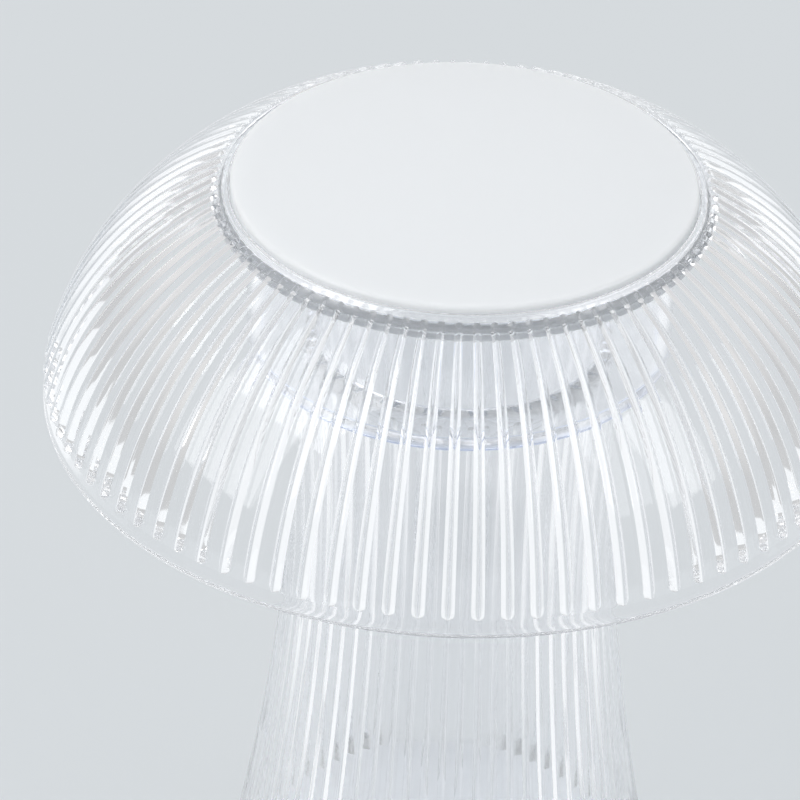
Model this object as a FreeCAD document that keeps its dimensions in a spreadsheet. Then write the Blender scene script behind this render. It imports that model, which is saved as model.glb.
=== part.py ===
import FreeCAD, Part
import math
import os
import Sketcher
from FreeCAD import Vector

# Mushroom table lamp, millimetres. The origin is the centre of the resting plane under the rubber pad,
# +Z up, and the charging socket and the power button face +Y.

doc = FreeCAD.newDocument("MushroomLamp")

# ---------------------------------------------------------------- driving sizes

sizeValues = {
    # clearances
    "seat_gap": 0.2,
    "screw_gap": 0.1,
    "sliding_gap": 0.05,
    # rubber pad and base cover
    "pad_gap": 2.0,
    "pad_thickness": 2.0,
    "cover_thickness": 2.0,
    "post_size": 4.0,
    "post_height": 5.0,
    "post_spacing": 25.0,
    "post_inset": 3.6,
    # base housing
    "base_lip": 2.2,
    "base_height": 20.0,
    "base_rim_wall": 1.5,
    "base_roof": 2.0,
    "base_chamfer": 1.5,
    "flat_depth": 2.0,
    "flat_height": 13.5,
    "flat_rim": 1.0,
    "rear_wall": 2.5,
    "rear_block_width": 28.0,
    "lead_hole_length": 6.0,
    "lead_hole_width": 3.0,
    # long screws through cover and housing into the stem
    "boss_radius": 3.2,
    "screw_radius": 1.4,
    "screw_head_radius": 2.5,
    "screw_head_height": 1.2,
    "screw_inset": 2.5,
    "screw_count": 3,
    "screw_length": 26.5,
    "screw_end_gap": 0.5,
    # ballast plate
    "ballast_gap": 1.3,
    "ballast_width": 54.0,
    "ballast_shift": 3.0,
    "ballast_thickness": 3.0,
    # battery, its tray and the foam that presses it down
    "battery_length": 50.0,
    "battery_width": 34.0,
    "battery_thickness": 8.0,
    "tray_floor": 1.5,
    "tray_wall": 1.5,
    "tray_wall_height": 6.0,
    "tray_gap": 0.3,
    "foam_length": 36.0,
    "foam_width": 22.0,
    # control board and what is on it
    "board_length": 32.0,
    "board_width": 18.0,
    "board_thickness": 1.6,
    "board_setback": 4.6,
    "chip_size": 5.0,
    "chip_height": 1.0,
    "plug_width": 6.0,
    "plug_depth": 4.5,
    "plug_height": 4.0,
    "plug_wall": 0.7,
    # charging socket
    "socket_offset": 7.0,
    "socket_width": 8.94,
    "socket_height": 3.26,
    "socket_depth": 7.35,
    "socket_wall": 0.3,
    "socket_opening_gap": 0.25,
    "tongue_width": 6.2,
    "tongue_thickness": 0.7,
    "tongue_length": 4.4,
    "tongue_inset": 1.0,
    # power button and its switch
    "button_offset": 7.0,
    "button_radius": 3.5,
    "button_gap": 0.3,
    "button_flange": 0.9,
    "button_flange_thickness": 1.0,
    "button_proud": 0.8,
    "switch_width": 6.0,
    "switch_depth": 3.5,
    "switch_height": 6.0,
    "plunger_size": 3.0,
    "plunger_reach": 1.5,
    "plunger_length": 2.6,
    # light source
    "led_board_radius": 22.0,
    "led_board_thickness": 1.6,
    "led_circle": 12.0,
    "led_count": 12,
    "led_length": 3.5,
    "led_width": 2.8,
    "led_height": 0.8,
    "diffuser_gap": 0.8,
    "diffuser_thickness": 2.0,
    # clear ribbed stem
    "stem_height": 152.4,
    "stem_crest_foot": 49.8,
    "stem_crest_neck": 32.9,
    "stem_arc": 700.0,
    "stem_wall": 2.5,
    "stem_rib_share": 0.016,
    "stem_rib_count": 64,
    "stem_foot_wall": 4.4,
    "stem_ring_height": 8.0,
    "stem_ring_seat": 2.6,
    "stem_spans": 4,
    "stem_inside_panels": 32,
    # clear cup that carries the shade and the disc
    "cup_inset": 3.7,
    "cup_height": 33.1,
    "cup_wall": 2.1,
    "cup_floor": 2.2,
    "cup_plug": 3.0,
    "cup_flange": 2.2,
    "cup_flange_gap": 0.7,
    # white top disc
    "disc_radius": 48.0,
    "disc_thickness": 4.5,
    "disc_edge": 0.6,
    "disc_gap": 0.3,
    # clear ribbed shade
    "dome_rim_radius": 86.8,
    "dome_depth": 52.1,
    "dome_arc": 70.5,
    "dome_wall": 2.0,
    "dome_seat": 3.4,
    "dome_ring_drop": 1.4,
    "dome_rib_count": 92,
    "dome_rib_share": 0.0118,
    "dome_ring_width": 2.5,
    "dome_rib_proud": 0.25,
    "dome_band_taper": 0.85,
    "dome_rim_band": 4.3,
    "dome_spans": 5,
    "dome_inside_panels": 46,
}

sizes = doc.addObject("Spreadsheet::Sheet", "sizes")
for row, (alias, size) in enumerate(sizeValues.items(), start=1):
    sizes.set(f"A{row}", str(size))
    sizes.setAlias(f"A{row}", alias)
doc.recompute()

# ---------------------------------------------------------------- places worked out from them

placeFormulas = {
    # heights
    "pad_bottom": "0",
    "cover_bottom": "sizes.pad_thickness",
    "cover_top": "cover_bottom + sizes.cover_thickness",
    "base_top": "cover_bottom + sizes.base_height",
    "roof_bottom": "base_top - sizes.base_roof",
    "chamfer_bottom": "base_top - sizes.base_chamfer",
    "flat_bottom": "cover_top + sizes.flat_rim",
    "ballast_top": "cover_top + sizes.ballast_thickness",
    "tray_top": "ballast_top + sizes.tray_floor",
    "battery_top": "tray_top + sizes.battery_thickness",
    "board_bottom": "cover_top + sizes.post_height",
    "board_top": "board_bottom + sizes.board_thickness",
    "switch_top": "board_top + sizes.switch_height",
    "socket_axis": "board_top + sizes.socket_height / 2",
    "button_axis": "board_top + sizes.switch_height / 2",
    "led_board_top": "base_top + sizes.led_board_thickness",
    "stem_ring_top": "base_top + sizes.stem_ring_height",
    "stem_top": "base_top + sizes.stem_height",
    "plug_bottom": "stem_top - sizes.cup_plug",
    "cup_floor_top": "stem_top + sizes.cup_floor",
    "cup_top": "stem_top + sizes.cup_height",
    "flange_bottom": "cup_top - sizes.cup_flange",
    "disc_top": "cup_top + sizes.disc_thickness",
    "disc_edge_low": "disc_top - sizes.disc_edge",
    "dome_ring": "disc_top - sizes.dome_ring_drop",
    "dome_rim": "disc_top - sizes.dome_depth",
    "dome_ribs_end": "dome_rim + sizes.dome_rim_band",
    # radii
    "base_radius": "sizes.stem_crest_foot + sizes.base_lip",
    "cover_hole_radius": "base_radius - sizes.base_rim_wall",
    "cover_radius": "cover_hole_radius - sizes.seat_gap",
    "base_top_radius": "base_radius - sizes.base_chamfer",
    "screw_hole_radius": "sizes.screw_radius + sizes.screw_gap",
    "button_hole_radius": "sizes.button_radius + sizes.button_gap",
    "stem_inner_foot": "sizes.stem_crest_foot * (1 - sizes.stem_rib_share) - sizes.stem_foot_wall",
    "stem_ring_inner": "stem_inner_foot - sizes.stem_ring_seat",
    "screw_circle": "stem_ring_inner + sizes.screw_inset",
    "pad_radius": "screw_circle - sizes.screw_head_radius - sizes.pad_gap",
    "diffuser_radius": "stem_inner_foot - sizes.diffuser_gap",
    "stem_inner_neck": "sizes.stem_crest_neck * (1 - sizes.stem_rib_share) - sizes.stem_wall",
    "plug_radius": "stem_inner_neck - 2 * sizes.seat_gap",
    "cup_radius": "sizes.disc_radius - sizes.cup_inset",
    "cup_inner_radius": "cup_radius - sizes.cup_wall",
    "disc_face_radius": "sizes.disc_radius - sizes.disc_edge",
    "dome_hole_radius": "sizes.disc_radius + sizes.disc_gap",
    "dome_seat_outer": "dome_hole_radius + sizes.dome_seat",
    "cup_flange_radius": "dome_seat_outer - sizes.cup_flange_gap",
    "dome_crest_top": "dome_hole_radius + sizes.dome_ring_width",
    "dome_crest_end": "sizes.dome_rim_radius + sizes.dome_rib_proud",
    "dome_band_radius": "sizes.dome_rim_radius - sizes.dome_band_taper",
    "dome_inner_arc": "sizes.dome_arc - sizes.dome_wall",
    "dome_rim_inner": "sizes.dome_rim_radius - sizes.dome_wall",
    # rear wall, from its inner face outwards
    "rear_flat": "base_radius - sizes.flat_depth",
    "beyond_base": "base_radius + sizes.flat_depth",
    "wall_face": "rear_flat - sizes.rear_wall",
    "block_right": "sizes.rear_block_width / 2",
    "block_left": "-block_right",
    # ballast plate
    "ballast_right": "screw_circle * cos(30) - sizes.boss_radius - sizes.ballast_gap",
    "ballast_left": "-ballast_right",
    "ballast_rear": "sizes.ballast_width / 2 - sizes.ballast_shift",
    "ballast_front": "ballast_rear - sizes.ballast_width",
    # battery, tray and foam
    "battery_right": "sizes.battery_length / 2",
    "battery_left": "-battery_right",
    "battery_rear": "sizes.battery_width / 2",
    "battery_front": "-battery_rear",
    "tray_bore_right": "battery_right + sizes.tray_gap",
    "tray_bore_left": "-tray_bore_right",
    "tray_bore_rear": "battery_rear + sizes.tray_gap",
    "tray_bore_front": "-tray_bore_rear",
    "tray_right": "tray_bore_right + sizes.tray_wall",
    "tray_left": "-tray_right",
    "tray_rear": "tray_bore_rear + sizes.tray_wall",
    "tray_front": "-tray_rear",
    "foam_right": "sizes.foam_length / 2",
    "foam_left": "-foam_right",
    "foam_rear": "sizes.foam_width / 2",
    "foam_front": "-foam_rear",
    "foam_thickness": "roof_bottom - battery_top",
    # control board, its posts, chip and battery plug
    "board_rear": "rear_flat - sizes.board_setback",
    "board_front": "board_rear - sizes.board_width",
    "board_right": "sizes.board_length / 2",
    "board_left": "-board_right",
    "post_front": "board_front + sizes.post_inset - sizes.post_size / 2",
    "post_rear": "post_front + sizes.post_size",
    "post_right_outer": "(sizes.post_spacing + sizes.post_size) / 2",
    "post_right_inner": "post_right_outer - sizes.post_size",
    "post_left_outer": "-post_right_outer",
    "post_left_inner": "-post_right_inner",
    "chip_front": "board_front + sizes.chip_size",
    "chip_rear": "chip_front + sizes.chip_size",
    "chip_right": "sizes.chip_size / 2",
    "chip_left": "-chip_right",
    "plug_right": "board_right - sizes.plug_wall",
    "plug_left": "plug_right - sizes.plug_width",
    "plug_rear": "board_rear - 2 * sizes.plug_depth",
    "plug_front": "plug_rear - sizes.plug_depth",
    "plug_bore_right": "plug_right - sizes.plug_wall",
    "plug_bore_left": "plug_left + sizes.plug_wall",
    "plug_bore_rear": "plug_rear - sizes.plug_wall",
    "plug_bore_front": "plug_front + sizes.plug_wall",
    # charging socket
    "socket_x": "-sizes.socket_offset",
    "socket_front": "wall_face - sizes.socket_depth",
    "socket_half_height": "sizes.socket_height / 2",
    "socket_half_flat": "sizes.socket_width / 2 - socket_half_height",
    "socket_bore_half_height": "socket_half_height - sizes.socket_wall",
    "socket_hole_half_height": "socket_half_height + sizes.socket_opening_gap",
    "tongue_left": "socket_x - sizes.tongue_width / 2",
    "tongue_right": "socket_x + sizes.tongue_width / 2",
    "tongue_low": "socket_axis - sizes.tongue_thickness / 2",
    "tongue_high": "socket_axis + sizes.tongue_thickness / 2",
    "tongue_block_low": "socket_axis - socket_bore_half_height",
    "tongue_block_high": "socket_axis + socket_bore_half_height",
    "tongue_block_depth": "sizes.socket_depth - sizes.tongue_length - sizes.tongue_inset",
    "tongue_start": "socket_front + tongue_block_depth",
    # power button, switch and plunger
    "button_flange_front": "wall_face - sizes.button_flange_thickness",
    "button_cap_length": "sizes.rear_wall + sizes.button_proud",
    "button_half_flange": "sizes.button_radius + sizes.button_flange",
    "button_flange_left": "sizes.button_offset - button_half_flange",
    "button_flange_right": "sizes.button_offset + button_half_flange",
    "button_flange_low": "button_axis - button_half_flange",
    "button_flange_high": "button_axis + button_half_flange",
    "switch_rear": "button_flange_front - sizes.plunger_reach",
    "switch_front": "switch_rear - sizes.switch_depth",
    "switch_left": "sizes.button_offset - sizes.switch_width / 2",
    "switch_right": "sizes.button_offset + sizes.switch_width / 2",
    "plunger_front": "button_flange_front - sizes.plunger_length",
    "plunger_left": "sizes.button_offset - sizes.plunger_size / 2",
    "plunger_right": "sizes.button_offset + sizes.plunger_size / 2",
    "plunger_low": "button_axis - sizes.plunger_size / 2",
    "plunger_high": "button_axis + sizes.plunger_size / 2",
    "bore_left": "plunger_left - sizes.sliding_gap",
    "bore_right": "plunger_right + sizes.sliding_gap",
    "bore_low": "plunger_low - sizes.sliding_gap",
    "bore_high": "plunger_high + sizes.sliding_gap",
    "bore_front": "plunger_front - sizes.button_proud - sizes.seat_gap",
    "bore_depth": "switch_rear - bore_front",
    # starting places of the polar patterns, and the hole for the light's leads
    "screw_y": "-screw_circle",
    "led_left": "-sizes.led_length / 2",
    "led_right": "sizes.led_length / 2",
    "led_near": "sizes.led_circle - sizes.led_width / 2",
    "led_far": "sizes.led_circle + sizes.led_width / 2",
    "lead_hole_left": "sizes.led_board_radius + sizes.lead_hole_width / 2",
    "lead_hole_right": "lead_hole_left + sizes.lead_hole_width",
    "lead_hole_rear": "sizes.lead_hole_length / 2",
    "lead_hole_front": "-lead_hole_rear",
    # lengths of screws, holes and bosses
    "boss_length": "roof_bottom - cover_top",
    "screw_way_length": "base_top - cover_top",
    "screw_head_bottom": "cover_bottom - sizes.screw_head_height",
    "stem_hole_length": "cover_bottom + sizes.screw_length + sizes.screw_end_gap - base_top",
}

places = doc.addObject("Spreadsheet::Sheet", "places")
for row, (alias, formula) in enumerate(placeFormulas.items(), start=1):
    places.set(f"A{row}", f"={formula}")
    places.setAlias(f"A{row}", alias)
doc.recompute()


def sheetRef(alias):
    if alias in sizeValues:
        return f"sizes.{alias}"
    return f"places.{alias}"


def value(alias):
    if alias == "0":
        return 0.0
    sheet = sizes if alias in sizeValues else places
    return float(sheet.get(alias))


# ---------------------------------------------------------------- drawing helpers


def newBody(label):
    body = doc.addObject("PartDesign::Body", label)
    body.Label = label
    body.AllowCompound = True
    return body


def originPart(body, role):
    return [part for part in body.Origin.OriginFeatures if part.Role == role][0]


def newSketch(body, name, planeRole, offset=None, sign=1):
    sketch = body.newObject("Sketcher::SketchObject", name)
    sketch.AttachmentSupport = [(originPart(body, planeRole), "")]
    sketch.MapMode = "FlatFace"
    if offset:
        factor = "" if sign > 0 else "-"
        sketch.setExpression("AttachmentOffset.Base.z", factor + sheetRef(offset))
    return sketch


def pinPoint(sketch, geometry, end, x, y):
    # holds one point of the sketch at the two named coordinates
    for kind, alias, axis in (("DistanceX", x, -2), ("DistanceY", y, -1)):
        if alias == "0":
            sketch.addConstraint(Sketcher.Constraint("PointOnObject", geometry, end, axis))
            continue
        held = Sketcher.Constraint(kind, -1, 1, geometry, end, value(alias))
        sketch.setExpression(f"Constraints[{sketch.addConstraint(held)}]", sheetRef(alias))


def drawOutline(sketch, corners):
    points = [Vector(value(x), value(y), 0) for x, y in corners]
    lines = []
    for here, there in zip(points, points[1:] + points[:1]):
        lines.append(sketch.addGeometry(Part.LineSegment(here, there)))
    for line, following, (x, y) in zip(lines, lines[1:] + lines[:1], corners):
        sketch.addConstraint(Sketcher.Constraint("Coincident", line, 2, following, 1))
        pinPoint(sketch, line, 1, x, y)


def drawRectangle(sketch, left, right, low, high):
    drawOutline(sketch, [(left, low), (right, low), (right, high), (left, high)])


def drawCircle(sketch, x, y, radius):
    circle = Part.Circle(Vector(value(x), value(y), 0), Vector(0, 0, 1), value(radius))
    geometry = sketch.addGeometry(circle)
    held = sketch.addConstraint(Sketcher.Constraint("Radius", geometry, value(radius)))
    sketch.setExpression(f"Constraints[{held}]", sheetRef(radius))
    pinPoint(sketch, geometry, 3, x, y)


def drawSlot(sketch, x, y, halfFlat, halfHeight):
    # round-ended slot whose two ends have their centres halfFlat left and right of x
    centreX, centreY = value(x), value(y)
    flat, height = value(halfFlat), value(halfHeight)
    arcs = []
    for mark, reach, turn in (("+", flat, -math.pi / 2), ("-", -flat, math.pi / 2)):
        circle = Part.Circle(Vector(centreX + reach, centreY, 0), Vector(0, 0, 1), height)
        geometry = sketch.addGeometry(Part.ArcOfCircle(circle, turn, turn + math.pi))
        held = sketch.addConstraint(Sketcher.Constraint("Radius", geometry, height))
        sketch.setExpression(f"Constraints[{held}]", sheetRef(halfHeight))
        across = Sketcher.Constraint("DistanceX", -1, 1, geometry, 3, centreX + reach)
        place = f"{sheetRef(x)} {mark} {sheetRef(halfFlat)}"
        sketch.setExpression(f"Constraints[{sketch.addConstraint(across)}]", place)
        up = Sketcher.Constraint("DistanceY", -1, 1, geometry, 3, centreY)
        sketch.setExpression(f"Constraints[{sketch.addConstraint(up)}]", sheetRef(y))
        arcs.append(geometry)
    right, left = arcs
    for first, last, reach, level in (
        (left, right, flat, centreY - height),
        (right, left, -flat, centreY + height),
    ):
        line = Part.LineSegment(Vector(centreX - reach, level, 0), Vector(centreX + reach, level, 0))
        geometry = sketch.addGeometry(line)
        sketch.addConstraint(Sketcher.Constraint("Tangent", first, 2, geometry, 1))
        sketch.addConstraint(Sketcher.Constraint("Tangent", geometry, 2, last, 1))


def revolve(body, name, corners):
    # turned solid from (radius, height) corners
    sketch = newSketch(body, f"{name}_profile", "XZ_Plane")
    drawOutline(sketch, corners)
    turned = body.newObject("PartDesign::Revolution", name)
    turned.Profile = sketch
    turned.ReferenceAxis = (sketch, ["V_Axis"])
    turned.Angle = 360
    body.Tip = turned
    return turned


def extrude(body, name, sketch, length, cut=False, backwards=False):
    kind = "PartDesign::Pocket" if cut else "PartDesign::Pad"
    feature = body.newObject(kind, name)
    feature.Profile = sketch
    feature.Reversed = backwards
    feature.setExpression("Length", sheetRef(length))
    body.Tip = feature
    return feature


def polar(body, feature, count):
    pattern = body.newObject("PartDesign::PolarPattern", f"{feature.Name}_ring")
    pattern.Originals = [feature]
    pattern.Axis = (originPart(body, "Z_Axis"), [""])
    pattern.Angle = 360
    pattern.setExpression("Occurrences", sheetRef(count))
    body.Tip = pattern
    return pattern


def disc(body, name, level, radius, length, x="0", y="0", cut=False, down=False):
    # round plate, boss or hole that stands on the named level, or hangs from it
    sketch = newSketch(body, f"{name}_outline", "XY_Plane", level)
    drawCircle(sketch, x, y, radius)
    return extrude(body, name, sketch, length, cut, down != cut)


def block(body, name, level, bounds, length, hole=None, cut=False, down=False):
    # rectangular pad, frame or pocket that stands on the named level, or hangs from it
    sketch = newSketch(body, f"{name}_outline", "XY_Plane", level)
    drawRectangle(sketch, *bounds)
    if hole:
        drawRectangle(sketch, *hole)
    return extrude(body, name, sketch, length, cut, down != cut)


def rearward(body, name, start, drawings, length, cut=False):
    # pad or pocket that runs towards +Y from the named place; each drawing is a function and its sizes
    sketch = newSketch(body, f"{name}_outline", "XZ_Plane", start, sign=-1)
    for draw, *drawnSizes in drawings:
        draw(sketch, *drawnSizes)
    return extrude(body, name, sketch, length, cut, not cut)


# ---------------------------------------------------------------- ribbed clear mouldings


def arcPoints(top, bottom, radius, side, spans):
    # evenly spaced (radius, height) points down an arc; side 1 has its centre on the left of the way down
    chord = Vector(bottom[0] - top[0], bottom[1] - top[1], 0)
    across = Vector(-chord.y, chord.x, 0).normalize() * side
    centre = Vector(*top, 0) + chord * 0.5 + across * math.sqrt(radius**2 - (chord.Length / 2) ** 2)
    turns = [math.atan2(height - centre.y, reach - centre.x) for reach, height in (top, bottom)]
    sweep = math.remainder(turns[1] - turns[0], 2 * math.pi)
    points = []
    for step in range(spans + 1):
        turn = turns[0] + sweep * step / spans
        points.append((centre.x + radius * math.cos(turn), centre.y + radius * math.sin(turn)))
    return points


def around(point, turn):
    angle = math.radians(turn)
    return Vector(point[0] * math.cos(angle), point[0] * math.sin(angle), point[1])


def panelWall(profiles, count):
    # wall of flat panels round Z, between count lines that repeat the profiles in turn, and its two rims
    lines = []
    for index in range(count):
        profile = profiles[index % len(profiles)]
        lines.append([around(point, index * 360.0 / count) for point in profile])
    panels = []
    for line, following in zip(lines, lines[1:] + lines[:1]):
        for upper, lower, nextUpper, nextLower in zip(line, line[1:], following, following[1:]):
            panels.append(Part.Face(Part.makePolygon([upper, lower, nextLower, nextUpper, upper])))
    rims = [Part.makePolygon([line[end] for line in lines] + [lines[0][end]]) for end in (0, -1)]
    return panels, *rims


def ribWall(crest, share, count):
    # upright ribs whose depth is a share of the radius, which keeps both flanks of each rib flat
    valley = [(radius * (1 - share), height) for radius, height in crest]
    return panelWall([crest, valley], 2 * count)


def turnedWall(start, end):
    line = Part.makeLine(around(start, 0), around(end, 0))
    return line.revolve(Vector(0, 0, 0), Vector(0, 0, 1), 360)


def circleAt(point):
    return Part.Wire(Part.makeCircle(point[0], Vector(0, 0, point[1])))


def flatRing(outer, inner):
    return Part.makeFace([outer, inner], "Part::FaceMakerBullseye")


def moulding(label, faces):
    shell = Part.makeShell(faces)
    shell.sewShape()
    solid = Part.makeSolid(shell)
    if solid.Volume < 0:
        solid.reverse()
    feature = doc.addObject("Part::Feature", label)
    feature.Label = label
    feature.Shape = solid
    feature.Placement = FreeCAD.Placement()
    return feature


def corner(radius, level):
    return value(radius), value(level)


def shadeDome():
    spans = int(value("dome_spans"))
    ribCount = int(value("dome_rib_count"))
    ends = corner("dome_crest_top", "dome_ring"), corner("dome_crest_end", "dome_ribs_end")
    crest = arcPoints(*ends, value("dome_arc"), -1, spans)
    ribs, ribTops, ribEnds = ribWall(crest, value("dome_rib_share"), ribCount)
    band = [corner("dome_band_radius", "dome_ribs_end"), corner("dome_rim_radius", "dome_rim")]
    bandWall, bandEdge, rimOutside = panelWall([band], ribCount)
    ends = corner("dome_seat_outer", "cup_top"), corner("dome_rim_inner", "dome_rim")
    inside = arcPoints(*ends, value("dome_inner_arc"), -1, spans)
    insideWall, seatEdge, rimInside = panelWall([inside], int(value("dome_inside_panels")))
    holeTop = corner("dome_hole_radius", "dome_ring")
    holeFoot = corner("dome_hole_radius", "cup_top")
    faces = ribs + bandWall + insideWall
    faces.append(turnedWall(holeTop, holeFoot))
    faces.append(flatRing(ribTops, circleAt(holeTop)))
    faces.append(flatRing(ribEnds, bandEdge))
    faces.append(flatRing(rimOutside, rimInside))
    faces.append(flatRing(seatEdge, circleAt(holeFoot)))
    return moulding("shade_dome", faces)


def stemBody():
    spans = int(value("stem_spans"))
    ends = corner("stem_crest_neck", "stem_top"), corner("stem_crest_foot", "base_top")
    crest = arcPoints(*ends, value("stem_arc"), 1, spans)
    ribs, ribTops, ribEnds = ribWall(crest, value("stem_rib_share"), int(value("stem_rib_count")))
    ends = corner("stem_inner_neck", "stem_top"), corner("stem_inner_foot", "stem_ring_top")
    inside = arcPoints(*ends, value("stem_arc"), 1, spans)
    insideWall, neckEdge, seatEdge = panelWall([inside], int(value("stem_inside_panels")))
    ringTop = corner("stem_ring_inner", "stem_ring_top")
    ringFoot = corner("stem_ring_inner", "base_top")
    faces = ribs + insideWall
    faces.append(turnedWall(ringTop, ringFoot))
    faces.append(flatRing(ribTops, neckEdge))
    faces.append(flatRing(seatEdge, circleAt(ringTop)))
    faces.append(flatRing(ribEnds, circleAt(ringFoot)))
    holes = doc.addObject("Part::Compound", "stem_screw_holes")
    holes.Links = [stemHole(index) for index in range(int(value("screw_count")))]
    stem = doc.addObject("Part::Cut", "stem_body")
    stem.Label = "stem_body"
    stem.Base = moulding("stem_moulding", faces)
    stem.Tool = holes
    return stem


def stemHole(index):
    hole = doc.addObject("Part::Cylinder", f"stem_screw_hole_{index + 1}")
    hole.setExpression("Radius", sheetRef("screw_hole_radius"))
    hole.setExpression("Height", sheetRef("stem_hole_length"))
    turn = f"({index} * 360 / {sheetRef('screw_count')} - 90)"
    hole.setExpression("Placement.Base.x", f"{sheetRef('screw_circle')} * cos({turn})")
    hole.setExpression("Placement.Base.y", f"{sheetRef('screw_circle')} * sin({turn})")
    hole.setExpression("Placement.Base.z", sheetRef("base_top"))
    return hole


# ---------------------------------------------------------------- cup and disc


def shadeCup():
    body = newBody("shade_cup")
    revolve(
        body,
        "cup_turned",
        [
            ("0", "plug_bottom"),
            ("plug_radius", "plug_bottom"),
            ("plug_radius", "stem_top"),
            ("cup_radius", "stem_top"),
            ("cup_radius", "flange_bottom"),
            ("cup_flange_radius", "flange_bottom"),
            ("cup_flange_radius", "cup_top"),
            ("cup_inner_radius", "cup_top"),
            ("cup_inner_radius", "cup_floor_top"),
            ("0", "cup_floor_top"),
        ],
    )
    return body


def topDisc():
    body = newBody("top_disc")
    revolve(
        body,
        "disc_turned",
        [
            ("0", "cup_top"),
            ("disc_radius", "cup_top"),
            ("disc_radius", "disc_edge_low"),
            ("disc_face_radius", "disc_top"),
            ("0", "disc_top"),
        ],
    )
    return body


# ---------------------------------------------------------------- base


def baseHousing():
    body = newBody("base_housing")
    revolve(
        body,
        "housing_shell",
        [
            ("cover_hole_radius", "cover_bottom"),
            ("base_radius", "cover_bottom"),
            ("base_radius", "chamfer_bottom"),
            ("base_top_radius", "base_top"),
            ("0", "base_top"),
            ("0", "roof_bottom"),
            ("cover_hole_radius", "roof_bottom"),
        ],
    )
    wallBounds = ("block_left", "block_right", "wall_face", "rear_flat")
    block(body, "rear_wall_block", "roof_bottom", wallBounds, "boss_length", down=True)
    flatBounds = ("block_left", "block_right", "rear_flat", "beyond_base")
    block(body, "rear_flat_cut", "flat_bottom", flatBounds, "flat_height", cut=True)
    boss = disc(body, "screw_boss", "roof_bottom", "boss_radius", "boss_length", y="screw_y", down=True)
    polar(body, boss, "screw_count")
    way = disc(
        body, "screw_way", "base_top", "screw_hole_radius", "screw_way_length", y="screw_y",
        cut=True, down=True,
    )
    polar(body, way, "screw_count")
    leadBounds = ("lead_hole_left", "lead_hole_right", "lead_hole_front", "lead_hole_rear")
    block(body, "lead_hole", "base_top", leadBounds, "base_roof", cut=True, down=True)
    opening = [(drawSlot, "socket_x", "socket_axis", "socket_half_flat", "socket_hole_half_height")]
    rearward(body, "socket_opening", "wall_face", opening, "rear_wall", cut=True)
    buttonHole = [(drawCircle, "button_offset", "button_axis", "button_hole_radius")]
    rearward(body, "button_opening", "wall_face", buttonHole, "rear_wall", cut=True)
    return body


def baseCover():
    body = newBody("base_cover")
    disc(body, "cover_plate", "cover_bottom", "cover_radius", "cover_thickness")
    way = disc(
        body, "cover_screw_way", "cover_bottom", "screw_hole_radius", "cover_thickness", y="screw_y",
        cut=True,
    )
    polar(body, way, "screw_count")
    for name, left, right in (
        ("left_post", "post_left_outer", "post_left_inner"),
        ("right_post", "post_right_inner", "post_right_outer"),
    ):
        block(body, name, "cover_top", (left, right, "post_front", "post_rear"), "post_height")
    return body


def basePad():
    body = newBody("base_pad")
    disc(body, "pad_plate", "pad_bottom", "pad_radius", "pad_thickness")
    return body


def baseScrews():
    body = newBody("base_screws")
    head = disc(
        body, "screw_head", "screw_head_bottom", "screw_head_radius", "screw_head_height", y="screw_y"
    )
    shank = disc(body, "screw_shank", "cover_bottom", "screw_radius", "screw_length", y="screw_y")
    polar(body, shank, "screw_count").Originals = [head, shank]
    return body


def plainBlock(label, level, bounds, length):
    body = newBody(label)
    block(body, f"{label}_pad", level, bounds, length)
    return body


def batteryTray():
    body = newBody("battery_tray")
    plate = ("tray_left", "tray_right", "tray_front", "tray_rear")
    block(body, "tray_plate", "ballast_top", plate, "tray_floor")
    bore = ("tray_bore_left", "tray_bore_right", "tray_bore_front", "tray_bore_rear")
    block(body, "tray_walls", "tray_top", plate, "tray_wall_height", hole=bore)
    return body


# ---------------------------------------------------------------- parts on the control board


def batteryPlug():
    body = newBody("battery_plug_socket")
    outer = ("plug_left", "plug_right", "plug_front", "plug_rear")
    bore = ("plug_bore_left", "plug_bore_right", "plug_bore_front", "plug_bore_rear")
    block(body, "plug_shroud", "board_top", outer, "plug_height", hole=bore)
    block(body, "plug_floor", "board_top", outer, "plug_wall")
    return body


def chargingShell():
    body = newBody("charging_socket_shell")
    tube = [
        (drawSlot, "socket_x", "socket_axis", "socket_half_flat", "socket_half_height"),
        (drawSlot, "socket_x", "socket_axis", "socket_half_flat", "socket_bore_half_height"),
    ]
    rearward(body, "socket_tube", "socket_front", tube, "socket_depth")
    return body


def chargingTongue():
    body = newBody("charging_socket_tongue")
    plug = [(drawRectangle, "tongue_left", "tongue_right", "tongue_block_low", "tongue_block_high")]
    rearward(body, "tongue_block", "socket_front", plug, "tongue_block_depth")
    blade = [(drawRectangle, "tongue_left", "tongue_right", "tongue_low", "tongue_high")]
    rearward(body, "tongue_blade", "tongue_start", blade, "tongue_length")
    return body


def buttonSwitch():
    body = newBody("button_switch")
    case = [(drawRectangle, "switch_left", "switch_right", "board_top", "switch_top")]
    rearward(body, "switch_case", "switch_front", case, "switch_depth")
    bore = [(drawRectangle, "bore_left", "bore_right", "bore_low", "bore_high")]
    rearward(body, "switch_bore", "bore_front", bore, "bore_depth", cut=True)
    return body


def switchPlunger():
    body = newBody("switch_plunger")
    rod = [(drawRectangle, "plunger_left", "plunger_right", "plunger_low", "plunger_high")]
    rearward(body, "plunger_rod", "plunger_front", rod, "plunger_length")
    return body


def powerButton():
    body = newBody("power_button")
    flange = ("button_flange_left", "button_flange_right", "button_flange_low", "button_flange_high")
    rearward(
        body, "button_flange", "button_flange_front", [(drawRectangle, *flange)],
        "button_flange_thickness",
    )
    cap = [(drawCircle, "button_offset", "button_axis", "button_radius")]
    rearward(body, "button_cap", "wall_face", cap, "button_cap_length")
    return body


# ---------------------------------------------------------------- light source


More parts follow.
